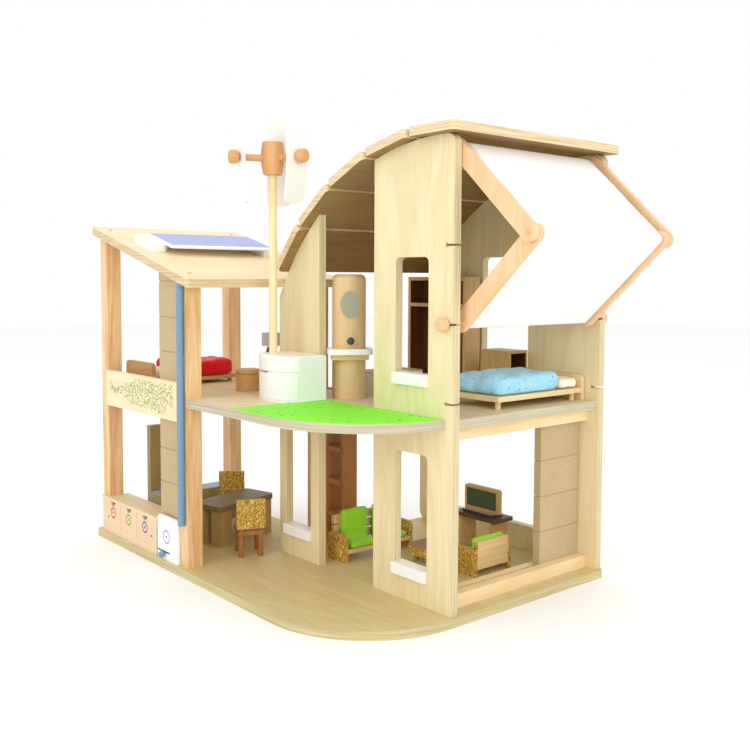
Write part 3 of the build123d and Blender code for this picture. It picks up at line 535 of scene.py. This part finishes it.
def coffee_table_finish():
    """Strand board with a brown top face."""
    p = Paint("coffee table finish", 0.45)
    top = grain(p, *brown_pair, 1, 0.8)
    upper_face = p.calc("GREATER_THAN", p.z, GROUND + 0.0257)
    return p.colour(p.mix(upper_face, strands(p), top))


coat("coffee_table", coffee_table_finish())
coat("tv_stand", two_finish("tv_stand", (rgb(214, 178, 118), rgb(176, 134, 78)), 0, [
    ((None, None, (GROUND + 0.0535, GROUND + 0.061)), rgb(92, 68, 44)),
]))
coat("tv", two_finish("tv", (rgb(206, 170, 112), rgb(170, 128, 76)), 0, [
    (((-0.2031, -0.1419), (0.237, 0.2402), (GROUND + 0.0689, GROUND + 0.0971)), rgb(66, 82, 62)),
    ((None, None, (GROUND + 0.059, GROUND + 0.0640)), rgb(52, 62, 92)),
]))
coat("ladder", two_finish("ladder", (rgb(182, 126, 72), rgb(140, 88, 44)), 2, []))
olive = (rgb(138, 118, 72), rgb(98, 80, 46))
coat("dining_table", two_finish("dining_table", olive, 1, [
    ((None, None, (0, GROUND + 0.0579)), rgb(176, 146, 90)),
]))
coat("kitchen", two_finish("kitchen", (rgb(176, 156, 98), rgb(142, 122, 70)), 2, [
    (((-0.6281, -0.5), None, (GROUND + 0.0605, GROUND + 0.062)), rgb(170, 184, 206)),
    (((-0.6279, -0.6), None, (GROUND + 0.140, 1)), rgb(44, 46, 52)),
]))


# ---------------------------------------------------------------- soft goods
def cloth_paint(name, light, dark, spots=None):
    p = Paint(name, 0.9, 0.15)
    warp = p.noise(p.mapped((2600, 500, 500)), 1.0)
    weft = p.noise(p.mapped((500, 2600, 500)), 1.0)
    weave = p.calc("MULTIPLY", warp, weft)
    colour = p.mix(p.span(weave, 0.12, 0.42), light, dark)
    if spots:
        mark = p.calc("LESS_THAN", p.cells(p.mapped((70, 110, 90))), 0.16)
        colour = p.mix(mark, colour, spots)
    p.bsdf.inputs["Sheen Weight"].default_value = 0.25
    p.bump(weave, 0.3, 0.0003)
    return p.colour(colour)


def soft_copy(node, name, material, depth, size, seed):
    """Rumpled copy of a CAD pad, grown from its mesh."""
    obj = nodes[node].copy()
    obj.data = nodes[node].data.copy()
    obj.name = name
    bpy.context.scene.collection.objects.link(obj)
    obj.hide_render = False
    obj.hide_viewport = False
    bpy.context.view_layer.objects.active = obj
    for other in bpy.context.selected_objects:
        other.select_set(False)
    obj.select_set(True)
    remesh = obj.modifiers.new("remesh", "REMESH")
    remesh.mode = "VOXEL"
    remesh.voxel_size = 0.0022
    bpy.ops.object.modifier_apply(modifier="remesh")
    smooth = obj.modifiers.new("smooth", "SMOOTH")
    smooth.iterations = 6
    bpy.ops.object.modifier_apply(modifier="smooth")
    mesh = obj.data
    low = min(v.co.z for v in mesh.vertices)
    moves = []
    for v in mesh.vertices:
        where = Vector(v.co) * size + Vector((seed, seed * 0.7, 0))
        fold = noise.noise(where) + 0.5 * noise.noise(where * 2.3)
        crease = abs(noise.noise(where * 1.3 + Vector((5, 9, 1)))) - 0.2
        hold = min(1.0, max(0.0, (v.co.z - low) / 0.006))
        moves.append(v.normal * depth * hold * (fold * 0.7 + crease))
    for v, move in zip(mesh.vertices, moves):
        v.co += move
    for face in mesh.polygons:
        face.use_smooth = True
    mesh.materials.clear()
    mesh.materials.append(material)
    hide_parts(node)
    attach(obj, "house")
    return obj


red = cloth_paint("red cotton", rgb(226, 16, 26), rgb(196, 8, 18))
sky = cloth_paint("blue cotton", rgb(176, 226, 246), rgb(140, 202, 234), rgb(96, 160, 214))
cream = cloth_paint("cream cotton", rgb(248, 244, 228), rgb(232, 226, 204))
lime = cloth_paint("lime felt", rgb(170, 232, 52), rgb(128, 200, 34))
soft_copy("duvet_left", "red_duvet", red, 0.0045, 22, 3)
soft_copy("duvet_right", "blue_duvet", sky, 0.0060, 24, 8)
soft_copy("pillows", "bed_pillows", cream, 0.0020, 50, 5)
soft_copy("cushions", "seat_cushions", lime, 0.0010, 60, 2)


# ---------------------------------------------------------------- shade cloth
def joint_of(child):
    return next(j for j in frame["record"]["behaviour"]["joints"] if j["child"] == child)


def shade_cloth():
    """One piece of cloth laid round the three rods on the outer side of the arms, in the pose they have
    now.
    """
    top = Vector(joint_of("shade_upper")["pos_m"])
    elbow = Vector(joint_of("shade_lower")["pos_m"])
    bottom_low, bottom_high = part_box("bottom_rod")
    bottom = Vector([(a + b) / 2 for a, b in zip(bottom_low, bottom_high)])
    y0, y1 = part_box("shade_cloth_upper")[0][1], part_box("shade_cloth_upper")[1][1]
    radius = 0.0056

    def outward(a, b):
        """Direction across the run from a to b, on the side away from the house."""
        run = Vector((b.x - a.x, 0, b.z - a.z)).normalized()
        across = Vector((-run.z, 0, run.x))
        return -across if across.x < 0 else across

    out_u = outward(top, elbow)
    out_l = outward(elbow, bottom)
    path = []
    for angle in range(-60, 1, 15):
        turn = Matrix.Rotation(math.radians(angle), 3, "Y")
        path.append((top + (turn @ out_u) * radius, 0.0))
    for k in range(1, 24):
        path.append((top.lerp(elbow, k / 24) + out_u * radius, math.sin(math.pi * k / 24)))
    fold = out_u.angle(out_l)
    for k in range(7):
        turn = Matrix.Rotation(fold * k / 6, 3, "Y")
        path.append((elbow + (turn @ out_u) * radius, 0.0))
    for k in range(1, 24):
        path.append((elbow.lerp(bottom, k / 24) + out_l * radius, math.sin(math.pi * k / 24)))
    for angle in range(0, 121, 15):
        turn = Matrix.Rotation(math.radians(angle), 3, "Y")
        path.append((bottom + (turn @ out_l) * radius, 0.0))
    columns = 60
    verts = []
    for row, (point, slack) in enumerate(path):
        normal = out_u if row < 30 else out_l
        for c in range(columns + 1):
            t = c / columns
            ripple = noise.noise(Vector((t * 5, row * 0.10, 4))) * 0.0016
            edge = 0.0010 * math.sin(row * 0.45) * (1 if t < 0.5 else -1) * (abs(t - 0.5) > 0.47)
            y = y0 + (y1 - y0) * t + edge
            verts.append(Vector((point.x, y, point.z)) + normal * slack * ripple)
    faces = []
    for row in range(len(path) - 1):
        for c in range(columns):
            a = row * (columns + 1) + c
            faces.append((a, a + 1, a + columns + 2, a + columns + 1))
    mesh = bpy.data.meshes.new("shade_sheet")
    mesh.from_pydata(verts, [], faces)
    mesh.update()
    for face in mesh.polygons:
        face.use_smooth = True
    obj = bpy.data.objects.new("shade_sheet", mesh)
    bpy.context.scene.collection.objects.link(obj)
    solid = obj.modifiers.new("thickness", "SOLIDIFY")
    solid.thickness = 0.0007
    solid.offset = 0
    p = Paint("shade cotton", 0.9, 0.12)
    warp = p.noise(p.mapped((300, 1600, 300)), 1.0)
    weft = p.noise(p.mapped((2200, 300, 2200)), 1.0)
    weave = p.calc("MULTIPLY", warp, weft)
    hem = p.calc("MAXIMUM", p.calc("LESS_THAN", p.y, y0 + 0.007), p.calc("GREATER_THAN", p.y, y1 - 0.007))
    colour = p.mix(p.span(weave, 0.12, 0.42), rgb(254, 253, 250), rgb(244, 242, 236))
    p.bump(weave, 0.25, 0.0003)
    obj.data.materials.append(p.colour(p.mix(p.calc("MULTIPLY", hem, 0.35), colour, rgb(226, 224, 216))))
    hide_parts("shade_cloth_upper", "shade_cloth_lower")
    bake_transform(obj)


shade_cloth()


# ---------------------------------------------------------------- floor, light and camera
def stage():
    bpy.ops.mesh.primitive_plane_add(size=14, location=(-0.3, 0.1, 0))
    ground = bpy.context.object
    ground.name = "studio_floor"
    p = Paint("studio floor", 0.9, 0.0)
    ground.data.materials.append(p.colour((0.97, 0.97, 0.97, 1)))


def area_light(name, where, target, size, power):
    data = bpy.data.lights.new(name, "AREA")
    data.shape = "DISK"
    data.size = size
    data.energy = power
    obj = bpy.data.objects.new(name, data)
    bpy.context.scene.collection.objects.link(obj)
    obj.location = where
    obj.rotation_euler = (Vector(target) - Vector(where)).to_track_quat("-Z", "Y").to_euler()


stage()
middle = (-0.3, 0.05, 0.3)
area_light("key", (-0.1, -2.6, 1.5), middle, 1.6, 12)
area_light("side", (2.4, -0.9, 1.3), middle, 1.8, 21)
area_light("top", (-0.6, 0.3, 2.8), middle, 2.0, 9)
world = bpy.data.worlds.new("studio")
bpy.context.scene.world = world
world.use_nodes = True
world.node_tree.nodes["Background"].inputs[0].default_value = (1, 1, 1, 1)
world.node_tree.nodes["Background"].inputs[1].default_value = 1.0


def camera():
    yaw, pitch, roll = math.radians(-49.638), math.radians(3.55), math.radians(0.232)
    ahead = Vector((math.sin(yaw) * math.cos(pitch), math.cos(yaw) * math.cos(pitch), -math.sin(pitch)))
    right = ahead.cross(Vector((0, 0, 1))).normalized()
    up = right.cross(ahead)
    x = right * math.cos(roll) + up * math.sin(roll)
    y = up * math.cos(roll) - right * math.sin(roll)
    data = bpy.data.cameras.new("camera")
    data.sensor_width = 36
    data.lens = 44.25
    data.shift_y = -0.0525
    data.clip_start = 0.01
    data.clip_end = 50
    obj = bpy.data.objects.new("camera", data)
    bpy.context.scene.collection.objects.link(obj)
    matrix = Matrix((x, y, -ahead)).transposed().to_4x4()
    matrix.translation = Vector((0.80521, -0.81175, 0.43913))
    obj.matrix_world = matrix
    bpy.context.scene.camera = obj


camera()
bpy.context.scene.view_settings.view_transform = "Standard"
